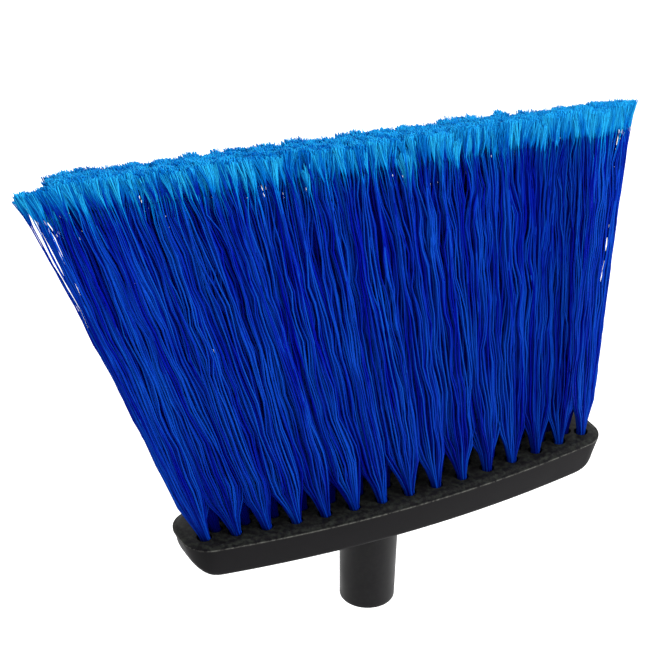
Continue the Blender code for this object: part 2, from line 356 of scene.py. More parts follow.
@dataclass(frozen=True)
class MouldedPolypropylene:
    """Black polypropylene, injection moulded in a lightly spark-eroded tool.

    The tool leaves a fine matt grain and a satin sheen. Handling leaves paler scuffs on the
    tuft face and along the rim, where a pale trace of the parting line shows. That pale line
    along the rim is partly wear and partly a painted highlight of the edge.
    """

    name: str
    body: str = "0f0e10"
    cloud: str = "161517"
    scuff: str = "2e312c"
    # Pale colour of the rim and parting line: wear, and also a painted highlight of the edge
    edge: str = "6c6c67"
    roughness: float = 0.5
    duller: tuple[float, float] = (-0.06, 0.08)
    specular: float = 0.06
    cloud_size: float = 14 * MM
    cloud_detail: float = 3.0
    scuff_size: float = 2.6 * MM
    scuff_detail: float = 6.0
    scuff_breaks: float = 0.68
    grain_size: float = 0.55 * MM   # the real grain is about 0.1 mm, too fine for the render
    grain_detail: float = 2.0
    grain_height: float = 0.035 * MM
    grain_strength: float = 0.7
    face_scuffs: float = 0.8
    # Bands of a noise that are spread out to the whole range
    cloud_band: tuple[float, float] = (0.35, 0.7)
    gloss_band: tuple[float, float] = (0.3, 0.7)
    scuff_band: tuple[float, float] = (0.44, 0.66)
    wear_highlight_band: tuple[float, float] = (0.38, 0.6)

    def make(self) -> bpy.types.Material:
        """Build the material.

        Returns:
            The new material.
        """
        add, shader, material = start_material(self.name)
        place = add("ShaderNodeTexCoord").outputs["Object"]
        cloud, scuffs, grain = (
            add(Kind.NOISE, place, None, 1 / size, *rest)
            for size, *rest in (
                (self.cloud_size, self.cloud_detail),
                (self.scuff_size, self.scuff_detail, self.scuff_breaks),
                (self.grain_size, self.grain_detail),
            )
        )
        exposed, wear_highlight_share = (
            add("ShaderNodeAttribute", attribute_name=name).outputs["Fac"]
            for name in ("exposed", "wear_and_highlight")
        )
        on_face = add(Kind.TIMES, exposed, self.face_scuffs)
        stops = list(zip(self.cloud_band, (self.body, self.cloud)))
        colour = add(Kind.RAMP, cloud, stops=stops)
        # The pale rim colour is wear along the rim and parting line, and also a painted
        # highlight of that edge
        for band, where, tint in (
            (self.scuff_band, on_face, self.scuff), (self.wear_highlight_band, wear_highlight_share, self.edge),
        ):
            mask = add(Kind.TIMES, add(Kind.RANGE, scuffs, *band), where)
            mixed = add(Kind.TINT, {0: mask, 6: colour, 7: linear_from_hex(tint)})
            colour = mixed.outputs[2]
        gloss = (self.roughness + change for change in self.duller)
        bump = add(
            "ShaderNodeBump",
            {"Height": grain, "Distance": self.grain_height, "Strength": self.grain_strength},
        )
        fill(shader, {
            "Base Color": colour,
            "Roughness": add(Kind.RANGE, cloud, *self.gloss_band, *gloss),
            "Normal": bump,
            "Specular IOR Level": self.specular,
        })
        return material


@dataclass(frozen=True)
class FlaggedPolypropylene:
    """Blue polypropylene filament, extruded, crimped, and flagged at its ends.

    The drawn filament is a deep, saturated blue with a satin sheen. Flagging splits the last
    15 to 20 mm into fine hairs, which scatter the light and look pale.
    """

    name: str = "extruded_polypropylene_filament"
    # Both ramps are darker towards the root: painted shade deep in the bed
    dark: tuple[str, ...] = ("00055e", "000792", "000a9e", "001ea8", "005cc2", "008ce0")
    light: tuple[str, ...] = ("0436a4", "0844b4", "0a4cc0", "066ad4", "0096ea", "2ac2fc")
    places: tuple[float, ...] = (0.0, 0.16, 0.9, 0.95, 0.98, 1.03)
    early: float = 0.07
    roughness: float = 0.42
    specular: float = 0.02

    def make(self) -> bpy.types.Material:
        """Build the material.

        Returns:
            The new material.
        """
        add, shader, material = start_material(self.name)
        along, tone = (
            add("ShaderNodeAttribute", attribute_name=name).outputs["Fac"]
            for name in ("along", "tone")
        )
        # Light filaments turn pale a little further down than dark ones
        reach = 1 + self.early
        uneven = add(Kind.OVER, add(Kind.TIMES_PLUS, tone, self.early, along), reach)
        places = [place / reach for place in self.places]
        dark, light = (
            add(Kind.RAMP, uneven, stops=list(zip(places, codes)))
            for codes in (self.dark, self.light)
        )
        colour = add(Kind.TINT, {0: tone, 6: dark, 7: light})
        fill(shader, {
            "Base Color": colour.outputs[2],
            "Roughness": self.roughness,
            "Specular IOR Level": self.specular,
        })
        return material


@dataclass(frozen=True)
class DrawnSteelWire:
    """Galvanised steel staple wire, drawn and cut: a dull grey metal with fine draw lines."""

    name: str = "galvanised_steel_wire"
    light: str = "b9bcbd"
    dark: str = "8f9395"
    roughness: float = 0.38
    line_width: float = 0.15 * MM
    line_band: tuple[float, float] = (0.3, 0.7)

    def make(self) -> bpy.types.Material:
        """Build the material.

        Returns:
            The new material.
        """
        add, shader, material = start_material(self.name)
        place = add("ShaderNodeTexCoord").outputs["Object"]
        lines = add(Kind.NOISE, place, None, 1 / self.line_width)
        stops = list(zip(self.line_band, (self.dark, self.light)))
        colour = add(Kind.RAMP, lines, stops=stops)
        fill(shader, {"Base Color": colour, "Metallic": 1.0, "Roughness": self.roughness})
        return material


# The bed of tufts


@dataclass(frozen=True)
class Tuft:
    """One tuft: its CAD node, its column in pitches from the middle, and its row, -1 to 1."""

    node: str
    column: float
    row: float

    @property
    def piece_name(self) -> str:
        """Name of the piece that stands for the CAD node."""
        return self.node.replace("tuft", "filaments")


@dataclass(frozen=True)
class Bed:
    """Where the tufts stand on the face and where their tips end, as the CAD has them."""

    row_counts: tuple[int, ...] = (15, 14, 13, 14)
    pitch: float = 14.5 * MM
    half_depth: float = 16 * MM
    bow: float = 9.1 * MM
    long_length: float = 190 * MM
    short_length: float = 170.3 * MM
    trim_pitch: float = 19.56 * MM
    trim_shift: float = 31.5 * MM
    trim_half_depth: float = 8 * MM
    trim_bow: float = 2 * MM
    offset: float = 12.5 * MM
    face_height: float = 65.5 * MM
    hole_radius: float = 3.3 * MM
    hole_depth: float = 12.6 * MM

    @property
    def end_column(self) -> float:
        """Column of the end tufts of the front row."""
        return (self.row_counts[0] - 1) / 2

    @property
    def row_step(self) -> float:
        """Distance between rows, where the outer rows are at -1 and 1."""
        return 2 / (len(self.row_counts) - 1)

    def tufts(self) -> list[Tuft]:
        """List the tufts, row by row.

        Returns:
            The tufts, in the order of their pieces.
        """
        return [
            Tuft(
                f"tuft_{row_index + 1}_{index + 1:02d}",
                index - (count - 1) / 2,
                row_index * self.row_step - 1,
            )
            for row_index, count in enumerate(self.row_counts)
            for index in range(count)
        ]

    def bowed(self, column: float) -> float:
        """Share of the bow at a column."""
        return (column / self.end_column) ** 2

    def depth(self, column: float) -> float:
        """Half the depth of the bed on the face at a column."""
        return self.half_depth - self.bow * self.bowed(column)

    def foot(self, tuft: Tuft) -> Vector:
        """Place of a tuft on the face."""
        x = self.offset + tuft.column * self.pitch
        return Vector((x, tuft.row * self.depth(tuft.column), self.face_height))

    def tip(self, tuft: Tuft) -> Vector:
        """Place of a tuft's middle at the trim.

        Args:
            tuft: Tuft of the bed.

        Returns:
            The place.
        """
        depth = self.trim_half_depth - self.trim_bow * self.bowed(tuft.column)
        share = (tuft.column + self.end_column) / (2 * self.end_column)
        length = self.long_length + share * (self.short_length - self.long_length)
        x = self.offset + tuft.column * self.trim_pitch - self.trim_shift
        return Vector((x, tuft.row * depth, self.face_height + length))

    def frame(self, tuft: Tuft) -> Matrix:
        """Frame on the face at a tuft, with Z along its hole.

        Args:
            tuft: Tuft of the bed.

        Returns:
            The frame.
        """
        foot = self.foot(tuft)
        turn = UP.rotation_difference(self.tip(tuft) - foot)
        return Matrix.Translation(foot) @ turn.to_matrix().to_4x4()


# Geometry node trees


class NodeMaker:
    """A geometry node tree with named inputs, which turns sizes into a plain mesh."""

    def __init__(self, name: str, inputs: Mapping[str, Any]) -> None:
        """Make the tree's interface.

        Args:
            name: Name of the tree.
            inputs: Default of each input by name. Its type tells what the input takes.
        """
        self.tree = bpy.data.node_groups.new(name, "GeometryNodeTree")
        sockets = self.tree.interface
        for way in ("INPUT", "OUTPUT"):
            sockets.new_socket("Geometry", in_out=way, socket_type="NodeSocketGeometry")
        self.keys: dict[str, str] = {}
        for label, default in inputs.items():
            kind = SOCKETS[type(default)]
            socket = sockets.new_socket(label, in_out="INPUT", socket_type=kind)
            socket.default_value = default
            self.keys[label] = socket.identifier
        self.given = self.add("NodeGroupInput").outputs

    def add(self, kind: Kind | str, *inputs: Any, **settings: Any) -> bpy.types.Node:
        """Add a node to this tree, as add_node does.

        Args:
            kind: Kind of node, or its type.
            *inputs: Its inputs. A name of one of the tree's own inputs stands for that.
            **settings: Its properties.

        Returns:
            The new node.
        """
        known = [
            self.given[value] if isinstance(value, str) and value in self.keys else value
            for value in inputs
        ]
        return add_node(self.tree, kind, *known, **settings)

    def end(self, shape: Any) -> None:
        """Realise the instances, set the material and close the tree.

        Args:
            shape: Node that gives the finished geometry.
        """
        whole = self.add("GeometryNodeRealizeInstances", shape)
        dressed = self.add("GeometryNodeSetMaterial", whole, None, "Finish")
        self.add("NodeGroupOutput", dressed)

    def grow(
        self, values: Mapping[str, Any], base: bpy.types.Mesh | None = None
    ) -> bpy.types.Mesh:
        """Run the tree on an object and keep the result as a plain mesh.

        Args:
            values: Inputs by name. The rest keep their defaults.
            base: Mesh that the tree starts from.

        Returns:
            The finished mesh.
        """
        carrier = new_object("carrier", base or bpy.data.meshes.new("start"))
        modifier = carrier.modifiers.new("maker", "NODES")
        modifier.node_group = self.tree
        for label, value in values.items():
            modifier[self.keys[label]] = value
        return apply_modifier(carrier, modifier)


class FilamentMaker(NodeMaker):
    """Grows one tuft of crimped filaments whose ends split into fine hairs.

    Every point is placed in the bed's own columns and rows, so the tufts fan out together.
    A filament starts in its hole, opens out like a flame over the face, gathers into locks
    with its neighbours and ends in a flag of hairs.
    """

    GOLDEN_TURN = math.pi * (3 - math.sqrt(5))
    # Drifts with the stretch of their noise over columns, rows and length, the widest first
    DRIFTS = (
        ("Lock", (1.3, 1.6, 1.3)), ("Gather", (4.2, 4.0, 1.8)), ("Ripple", (2.2, 2.4, 9.0)),
    )
    # Zones along the head: -1 is the end tuft at the long end, 1 that at the short end
    WHOLE_HEAD = (-1.0, 1.0)
    RISE_FADES = ((-1.05, -0.93), (1.04, 0.88))
    WORN_END = (-1.06, -0.92)
    LONG_END = (-0.95, -0.7)
    SHORT_END = (0.5, 1.0)
    SHORT_CORNER = (0.96, 1.06)
    # Zones through the rows: -1 is the front row, 1 the back row
    ALL_ROWS = (-1.0, 1.0)
    BEHIND_FRONT = (-0.9, -0.4)
    BACK_ROW = (0.45, 0.8)
    OUTER_ROWS = (0.7, 1.15)
    # Zones up a filament: 0 is the face, 1 the trim
    DRAWN_TOGETHER = (0.5, 0.95)
    ROOTS = (0.0, 0.3)
    BELOW_FLAGS = (0.82, 0.96)
    BRUSHED_UP_TO = (0.05, 0.86)
    BRUSHED_FROM = (0.9, 1.0)
    # Bands of a noise that are spread out to the whole range
    LOCK_TONES = (0.39, 0.63)
    SHORT_CLUMPS = (0.62, 0.76)
    # Noises: their middle, a slice for a second one, and how far apart filaments, tufts and
    # places on the way up read the wander; then how much of an offset goes each way
    NOISE_MIDDLE = (0.5, 0.5, 0.5)
    OTHER_SLICE = (0.0, 0.0, 40.0)
    WANDER_STEPS = (7.31, 3.17, 3.2)
    DRIFT_SHAPE = (1.0, 0.5, 0.0)
    WANDER_SHAPE = (1.0, 0.6, 0.0)
    # The map: width and margin of a filament in its column, and its heights
    MAP_WIDTH = (0.8, 0.1)
    MAP_HEIGHT = (-0.04, 1.0, 0.01, 0.99)

    def __init__(self, bed: Bed, finish: bpy.types.Material) -> None:
        """Build the tree for a bed.

        Args:
            bed: Bed whose sizes the tree takes.
            finish: Material of the filaments.
        """
        super().__init__("filament_tuft", {
            "Finish": finish,
            # Counts
            "Filaments": 84, "Hairs": 13, "Steps": 22, "Hair Steps": 3, "Sides": 3, "Seed": 0,
            # The tuft, in columns and rows of the bed
            "Column": 0.0, "Row": 0.0, "Root Columns": 0.2, "Root Rows": 0.2, "Spread": 0.58,
            "Row Step": bed.row_step, "End Column": bed.end_column,
            "Low Limit": bed.end_column + 0.42, "Column Limit": bed.end_column + 0.54,
            "Row Limit": 1 + 0.54 * bed.row_step, "Soft Edge": 0.3,
            # The bed on the face and at the trim
            "Middle": (bed.offset, 0.0, bed.face_height),
            "Pitch": bed.pitch, "Half Depth": bed.half_depth, "Bow": bed.bow,
            "Trim Pitch": bed.trim_pitch, "Trim Half Depth": bed.trim_half_depth,
            "Trim Bow": bed.trim_bow, "Trim Shift": bed.trim_shift,
            "Trim Flatness": bed.trim_half_depth / bed.trim_pitch,
            "Long Length": bed.long_length, "Short Length": bed.short_length,
            # What departs from the flat trim
            "Left Splay": -2.5 * MM, "Right Splay": 3 * MM, "Right Reach": 12 * MM,
            "Right Rise": 4 * MM, "Right Closing": 0.4, "Left Tuck": 8 * MM,
            "Left Wear": 0.4 * MM, "Front Rise": 4 * MM, "Trim Scatter": 0.5 * MM,
            "Clump Scatter": 7 * MM, "Clumps": 3.0, "Short Drop": 9 * MM, "Drops": 3.4,
            # The way up, in shares of a filament's length
            "Sunk": 0.04, "Flag Start": 0.92, "Opening": 0.14, "Wave Length": 0.15,
            "Crimp Step": 0.045, "Hair Scatter": 0.006,
            # Crimp, drift and flare
            "Crimp": 0.06 * MM, "Wave": 0.3 * MM, "Turning": 9.0, "Wander": 2.2 * MM,
            "Lock": 0.5, "Gather": 0.34, "Ripple": 0.25, "End Calm": 0.4, "Row Closing": 0.8,
            "Brushes": 2.3, "Brush Rows": 2.3, "Brush Slice": 7.0, "Brush Noise": 0.9,
            "Brush Unevenness": 11.0, "Brush Pull": 1.0, "Flag Pull": 0.25, "Limit Curve": 3.0,
            "Flare": 2.5 * MM, "Flare Curve": 1.3, "Flare Drop": -0.25, "Flare Depth": 0.6,
            # Tone
            "Locks": 4.6, "Lock Change": 0.7, "Lock Tone": 0.88, "Stray Rarity": 14.0,
            "Bright Strays": 0.35, "Pale End": 0.35, "Root Shade": 0.0, "Inner Shade": 0.75,
            # Thickness
            "Radius": 0.39 * MM, "Thinning From": 0.8, "Thinned": 0.5,
            "Hair Radius": 0.14 * MM, "Hair End": 0.2 * MM,
        })
        add = self.add
        self.filament, self.hair, self.order, self.along, self.around = (
            add(Kind.READ, name) for name in ("filament", "hair", "order", "along", "around")
        )
        self.chance = self._chances(self.filament, Draw.CHANCE).outputs
        self.habit = self._chances(self.filament, Draw.HABIT).outputs
        self.opened = add(Kind.EASED, self.along, 0.0, "Opening")
        self.flag_share = add(Kind.RANGE, self.along, "Flag Start", 1.0)
        # Filaments spread evenly over a round section, as seeds lie in a sunflower
        half_step = add(Kind.PLUS, self.filament, 0.5)
        reach = add(Kind.ROOT, add(Kind.OVER, half_step, "Filaments"))
        angle = add(Kind.TIMES_PLUS, self.filament, self.GOLDEN_TURN, "Seed")
        self.across = add(Kind.TIMES, reach, add(Kind.COSINE, angle))
        self.deep = add(Kind.TIMES, reach, add(Kind.SINE, angle))
        self.row_spread = add(Kind.TIMES, "Spread", "Row Step")
        self.own_column = add(Kind.TIMES_PLUS, self.across, "Spread", "Column")
        self.own_row = add(Kind.TIMES_PLUS, self.deep, self.row_spread, "Row")
        curves = add(Kind.STORE, self._curves(), None, "tone", self._tone())
        placed = add("GeometryNodeSetPosition", curves, None, self._place())
        self.end(self._skin(add("GeometryNodeSetCurveRadius", placed, None, self._thickness())))

    def _chances(self, identity: Any, draw: Draw) -> bpy.types.Node:
        """Add three random numbers for each identity.

        Args:
            identity: Node that tells the filaments or hairs apart.
            draw: Draw that they belong to.

        Returns:
            The node that splits them into X, Y and Z.
        """
        seed = self.add(Kind.PLUS, "Seed", draw.value)
        drawn = self.add(
            "FunctionNodeRandomValue", {"ID": identity, "Seed": seed}, data_type="FLOAT_VECTOR"
        )
        return self.add(Kind.SPLIT, drawn)

    def _curves(self) -> bpy.types.Node:
        """Add a long line for each filament and a short one for each hair, and join them.

        Returns:
            The node with the lines, which know how far along a filament each point is.
        """
        add = self.add
        index = add("GeometryNodeInputIndex")
        owner = add(MATH, add(Kind.OVER, index, "Hairs"), operation="FLOOR")
        groups = []
        hairs = add(Kind.TIMES, "Filaments", "Hairs")
        for count, steps, filament, is_hair in (
            ("Filaments", "Steps", index, 0.0), (hairs, "Hair Steps", owner, 1.0),
        ):
            spots = add("GeometryNodePoints", count)
            for name, value in (("filament", filament), ("hair", is_hair), ("order", index)):
                spots = add(Kind.STORE, spots, None, name, value)
            line = add("GeometryNodeCurvePrimitiveLine", None, tuple(UP))
            line = add("GeometryNodeResampleCurve", line, None, steps)
            copies = add("GeometryNodeInstanceOnPoints", spots, None, line)
            groups.append(add("GeometryNodeRealizeInstances", copies))
        joined = add("GeometryNodeJoinGeometry", groups[1])
        fill(joined, {0: groups[0]})
        lowest = add(Kind.TIMES, "Sunk", -1.0)
        start = add(Kind.MIX, self.hair, None, lowest, "Flag Start")
        drawn = self._chances(self.order, Draw.TIP).outputs[0]
        tip = add(Kind.MINUS, 1.0, add(Kind.TIMES, drawn, "Hair Scatter"))
        finish = add(Kind.MIX, self.hair, None, "Flag Start", tip)
        along = add(Kind.MIX, add(Kind.FACTOR), None, start, finish)
        return add(Kind.STORE, joined, None, "along", along)

    def _tone(self) -> bpy.types.Node:
        """Work out how light a filament is: partly its own chance, partly that of its lock,
        with painted shade inside the bed and painted light at the short end.

        Returns:
            The node with the tone, from 0 for dark to 1 for light.
        """
        add = self.add
        up = add(Kind.TIMES, self.along, "Lock Change")
        spot = add(Kind.XYZ, self.own_column, self.own_row, up)
        lock = add(Kind.NOISE, spot, None, "Locks", 1.0)
        lock = add(Kind.RANGE, lock, *self.LOCK_TONES, 0.0, "Lock Tone")
        own = add(Kind.MINUS, 1.0, "Lock Tone")
        of_hair = self._chances(self.order, Draw.HAIR_TONE).outputs[0]
        chance = add(Kind.MIX, self.hair, None, self.chance[2], of_hair)
        tone = add(Kind.TIMES_PLUS, chance, own, lock)
        stray = add(Kind.POWER, chance, "Stray Rarity")
        tone = add(Kind.TIMES_PLUS, stray, "Bright Strays", tone)
        # Painted light: the flags are made paler towards the short end, standing in for light
        # that falls more strongly from that side
        painted_end_light = add(Kind.RANGE, self.own_column, 0.0, "End Column", 0.0, "Pale End")
        tone = add(Kind.TIMES_PLUS, painted_end_light, self.hair, tone)
        # Deep between the rows, less light reaches the roots
        unshaded = add(Kind.MINUS, 1.0, "Root Shade")
        tone = add(Kind.TIMES, tone, add(Kind.RANGE, self.along, *self.ROOTS, unshaded, 1.0))
        # Less of it also reaches the inside of the bed, up to the flags
        from_middle = add(Kind.SIZE, self.own_row)
        inside = add(Kind.RANGE, from_middle, *self.OUTER_ROWS, "Inner Shade", 0.0)
        covered = add(Kind.RANGE, self.along, *self.BELOW_FLAGS, 1.0, 0.0)
        outside = add(Kind.MINUS, 1.0, add(Kind.TIMES, inside, covered))
        return add(Kind.TIMES, tone, outside)

    def _place(self) -> bpy.types.Node:
        """Work out where each point of a filament or hair lies.

        Returns:
            The node with the place.
        """
        column, row = self._bed_place()
        place = self._fanned(column, row)
        for offset in (self._crimp(), self._wander(), self._flare()):
            place = self.add(Kind.MOVED, place, offset)
        return place

    def _drift(
        self, spot: Any, detail: float, shape: tuple[float, float, float], reach: Any
    ) -> bpy.types.Node:
        """Make an offset of a smooth noise.

        Args:
            spot: Where the noise is read.
            detail: Detail of the noise.
            shape: How much of it goes each way.
            reach: Size of the offset.

        Returns:
            The node with the offset.
        """
        noise = self.add(Kind.NOISE, spot, None, 1.0, detail).outputs["Color"]
        centred = self.add(Kind.FROM, noise, self.NOISE_MIDDLE)
        return self.add(Kind.SCALED, self.add(Kind.SHAPED, centred, shape), None, None, reach)

    def _bed_place(self) -> tuple[bpy.types.Node, bpy.types.Node]:
        """Work out the column and row that a point has on its way up.

        Returns:
            Nodes with the column and the row.
        """
        add = self.add
        closing = add(Kind.RANGE, self.along, *self.DRAWN_TOGETHER, 1.0, "Row Closing")
        row_spread = add(Kind.TIMES, self.row_spread, closing)
        width = add(Kind.MIX, self.opened, None, "Root Columns", "Spread")
        depth = add(Kind.MIX, self.opened, None, "Root Rows", row_spread)
        column = add(Kind.TIMES_PLUS, self.across, width, "Column")
        row = add(Kind.TIMES_PLUS, self.deep, depth, "Row")
        # Neighbours drift together, also across tufts, and gather into locks on the way
        place = add(Kind.XYZ, column, row, self.along)
        last_tufts = add(Kind.MINUS, "End Column", 1.0)
        from_middle = add(Kind.SIZE, column)
        calm = add(Kind.RANGE, from_middle, last_tufts, "Column Limit", 1.0, "End Calm")
        moving = add(Kind.TIMES, self.opened, calm)
        for strength, stretch in self.DRIFTS:
            spot = add(Kind.SHAPED, place, stretch)
            reach = add(Kind.TIMES, strength, moving)
            place = add(Kind.MOVED, place, self._drift(spot, 0.0, self.DRIFT_SHAPE, reach))
        place = add(Kind.SPLIT, place).outputs
        risen = add(Kind.POWER, self.along, "Limit Curve")
        limit = add(Kind.MIX, risen, None, "Low Limit", "Column Limit")
        column = self._kept_inside(self._brushed(place[0], place[1]), limit)
        return column, self._kept_inside(place[1], "Row Limit")

    def _brushed(self, column: Any, row: Any) -> bpy.types.Node:
        """Pull columns to the middles of brushes, most of all just below the flags.

        Args:
            column: Column that a point has drifted to.
            row: Row that it has drifted to.

        Returns:
            The node with the new column.
        """
        add = self.add
        spot = add(Kind.XYZ, column, add(Kind.TIMES, row, "Brush Rows"), "Brush Slice")
        uneven = add(Kind.NOISE, spot, None, "Brush Noise", 1.0)
        phase = add(Kind.TIMES, uneven, "Brush Unevenness")
        rate = add(Kind.TIMES, "Brushes", math.tau)
        swing = add(Kind.SINE, add(Kind.TIMES_PLUS, column, rate, phase))
        swing = add(Kind.OVER, swing, rate)
        rising = add(Kind.RANGE, self.along, *self.BRUSHED_UP_TO, 0.0, "Brush Pull")
        falling = add(Kind.RANGE, self.along, *self.BRUSHED_FROM, 1.0, "Flag Pull")
        pull = add(Kind.TIMES, rising, falling)
        return add(Kind.MINUS, column, add(Kind.TIMES, swing, pull))

    def _kept_inside(self, value: Any, limit: Any) -> bpy.types.Node:
        """Press a value softly inside plus and minus a limit.

        Args:
            value: Value to press.
            limit: The limit.

        Returns:
            The node with the new value.
        """
        value = self.add(MATH, value, limit, "Soft Edge", operation="SMOOTH_MIN")
        lowest = self.add(Kind.TIMES, limit, -1.0)
        return self.add(MATH, value, lowest, "Soft Edge", operation="SMOOTH_MAX")

    def _fanned(self, column: Any, row: Any) -> bpy.types.Node:
        """Work out a place in the fan: on the face, at the trim, and on the way between them.

        Args:
            column: Column of the point.
            row: Row of the point.

        Returns:
            The node with the place.
        """
        add = self.add
        share = add(Kind.OVER, column, "End Column")
        bow = add(Kind.POWER, share, 2.0)
        edge = add(Kind.RANGE, add(Kind.SIZE, column), "End Column", "Column Limit")
        splay = add(Kind.RANGE, share, *self.WHOLE_HEAD, "Left Splay", "Right Splay")
        splay = add(Kind.TIMES, splay, add(Kind.TIMES, edge, self.along))
        # At the short end the rows behind the first lean out to one corner with it, and at
        # the long end the back row stands further in
        near_end = add(Kind.EASED, share, *self.SHORT_END)
        behind = add(Kind.RANGE, row, *self.BEHIND_FRONT)
        at_left = add(Kind.EASED, share, *self.LONG_END, 1.0, 0.0)
        last_row = add(Kind.RANGE, row, *self.BACK_ROW)
        for zone, rows, reach in (
            (near_end, behind, "Right Reach"), (at_left, last_row, "Left Tuck"),
        ):
            moved = add(Kind.TIMES, add(Kind.TIMES, zone, rows), self.along)
            splay = add(Kind.TIMES_PLUS, moved, reach, splay)
        shift = add(Kind.MINUS, splay, "Trim Shift")
        closing = add(Kind.MINUS, 1.0, add(Kind.TIMES, near_end, "Right Closing"))
        length = self._length(share, row, add(Kind.MINUS, 1.0, behind))
        ends = []
        for part, offset, rise, closed in (
            ("", 0.0, 0.0, 1.0), ("Trim ", shift, length, closing),
        ):
            drawn_in = add(Kind.TIMES, bow, part + "Bow")
            depth = add(Kind.MINUS, part + "Half Depth", drawn_in)
            depth = add(Kind.TIMES, depth, closed)
            x = add(Kind.TIMES_PLUS, column, part + "Pitch", offset)
            ends.append(add(Kind.XYZ, x, add(Kind.TIMES, row, depth), rise))
        way = add(Kind.SCALED, add(Kind.FROM, ends[1], ends[0]), None, None, self.along)
        return add(Kind.MOVED, add(Kind.MOVED, ends[0], way), "Middle")

    def _length(self, share: Any, row: Any, in_front: Any) -> bpy.types.Node:
        """Work out how long a filament is: the slanted trim, and what departs from it.

        Args:
            share: Place along the head.
            row: Row of the point.
            in_front: How much the point belongs to the front row.

        Returns:
            The node with the length.
        """
        add = self.add
        length = add(
            Kind.RANGE, share, *self.WHOLE_HEAD, "Long Length", "Short Length", clamp=False
        )
        own_chance = add(Kind.RANGE, self.habit[1], 0.0, 1.0, -1.0, 1.0)
        length = add(Kind.TIMES_PLUS, own_chance, "Trim Scatter", length)
        # Clumps of neighbours end together, and some are left short
        flatter = add(Kind.TIMES, self.own_row, "Trim Flatness")
        spot = add(Kind.XYZ, self.own_column, flatter, 0.0)
        clump = add(Kind.MINUS, add(Kind.NOISE, spot, None, "Clumps", 1.0), 0.5)
        length = add(Kind.TIMES_PLUS, clump, "Clump Scatter", length)
        elsewhere = add(Kind.MOVED, spot, self.OTHER_SLICE)
        drop = add(Kind.NOISE, elsewhere, None, "Drops", 0.0)
        drop = add(Kind.RANGE, drop, *self.SHORT_CLUMPS, 0.0, "Short Drop")
        length = add(Kind.MINUS, length, drop)
        # The front rows are a little longer, so their flags hide the ends behind them.
        # Towards both ends of the head that difference fades, and the long end is worn down
        ahead = add(Kind.RANGE, row, *self.ALL_ROWS, "Front Rise", 0.0)
        for fade in self.RISE_FADES:
            ahead = add(Kind.TIMES, ahead, add(Kind.RANGE, share, *fade))
        length = add(Kind.PLUS, length, ahead)
        wear_highlight_share = add(Kind.RANGE, share, *self.WORN_END, "Left Wear", 0.0)
        length = add(Kind.MINUS, length, wear_highlight_share)
        corner = add(Kind.RANGE, share, *self.SHORT_CORNER, 0.0, "Right Rise")
        return add(Kind.PLUS, length, add(Kind.TIMES, corner, in_front))

    def _crimp(self) -> bpy.types.Node:
        """Work out the crimp: a wave in a plane of the filament's own that slowly turns.

        Returns:
            The node with the offset.
        """
        add = self.add
        risen = add(Kind.PLUS, self.along, "Sunk")
        wave = add(MATH, risen, "Crimp Step", operation="PINGPONG")
        wave = add(Kind.RANGE, wave, 0.0, "Crimp Step", -1.0, 1.0)
        swing = add(Kind.OVER, self.along, "Wave Length")
        swing = add(Kind.TIMES, add(Kind.PLUS, swing, self.chance[1]), math.tau)
        swing = add(Kind.TIMES, add(Kind.SINE, swing), "Wave")
        height = add(Kind.TIMES_PLUS, wave, "Crimp", swing)
        height = add(Kind.TIMES, height, self.opened)
        turn = add(Kind.TIMES, self.habit[0], math.tau)
        turning = add(Kind.TIMES, self.chance[0], "Turning")
        turn = add(Kind.TIMES_PLUS, self.along, turning, turn)
        heading = add(Kind.XYZ, add(Kind.COSINE, turn), add(Kind.SINE, turn), 0.0)
        return add(Kind.SCALED, heading, None, None, height)

    def _wander(self) -> bpy.types.Node:
        """Work out a filament's own slow drift.

        Returns:
            The node with the offset.
        """
        add = self.add
        read_at = zip((self.filament, "Seed", self.along), self.WANDER_STEPS)
        spot = add(Kind.XYZ, *(add(Kind.TIMES, value, step) for value, step in read_at))
        grown = add(Kind.TIMES, add(Kind.TIMES, self.opened, "Wander"), self.along)
        return self._drift(spot, 1.0, self.WANDER_SHAPE, grown)

    def _flare(self) -> bpy.types.Node:
        """Work out how the hairs of a flag spread apart, flatter through the depth.

        Returns:
            The node with the offset.
        """
        add = self.add
        chance = self._chances(self.order, Draw.FLARE).outputs
        turn = add(Kind.TIMES, chance[0], math.tau)
        radius = add(Kind.TIMES, add(Kind.ROOT, chance[1]), "Flare")
        grown = add(Kind.POWER, self.flag_share, "Flare Curve")
        lower = add(Kind.TIMES, chance[2], "Flare Drop")
        inward = add(Kind.TIMES, add(Kind.SINE, turn), "Flare Depth")
        heading = add(Kind.XYZ, add(Kind.COSINE, turn), inward, lower)
        return add(Kind.SCALED, heading, None, None, add(Kind.TIMES, radius, grown))

    def _thickness(self) -> bpy.types.Node:
        """Work out the radius: a filament thins into its flag, a hair is thicker at its end.

        Returns:
            The node with the radius.
        """
        add = self.add
        thinned = add(Kind.RANGE, self.along, "Thinning From", "Flag Start", 1.0, "Thinned")
        thick = add(Kind.TIMES, "Radius", thinned)
        fine = add(Kind.MIX, self.flag_share, None, "Hair Radius", "Hair End")
        return add(Kind.MIX, self.hair, None, thick, fine)

    def _skin(self, curves: Any) -> bpy.types.Node:
        """Give the curves their skin, tone and map.

        Args:
            curves: Node with the placed curves.

        Returns:
            The node with the mesh.
        """
        add = self.add
        circle = add("GeometryNodeCurvePrimitiveCircle", "Sides")
        profile = add(Kind.STORE, circle, None, "around", add(Kind.FACTOR))
        skin = add(Kind.SWEEP, curves, profile, add("GeometryNodeInputRadius"), True)
        skin = add("GeometryNodeSetShadeSmooth", skin)
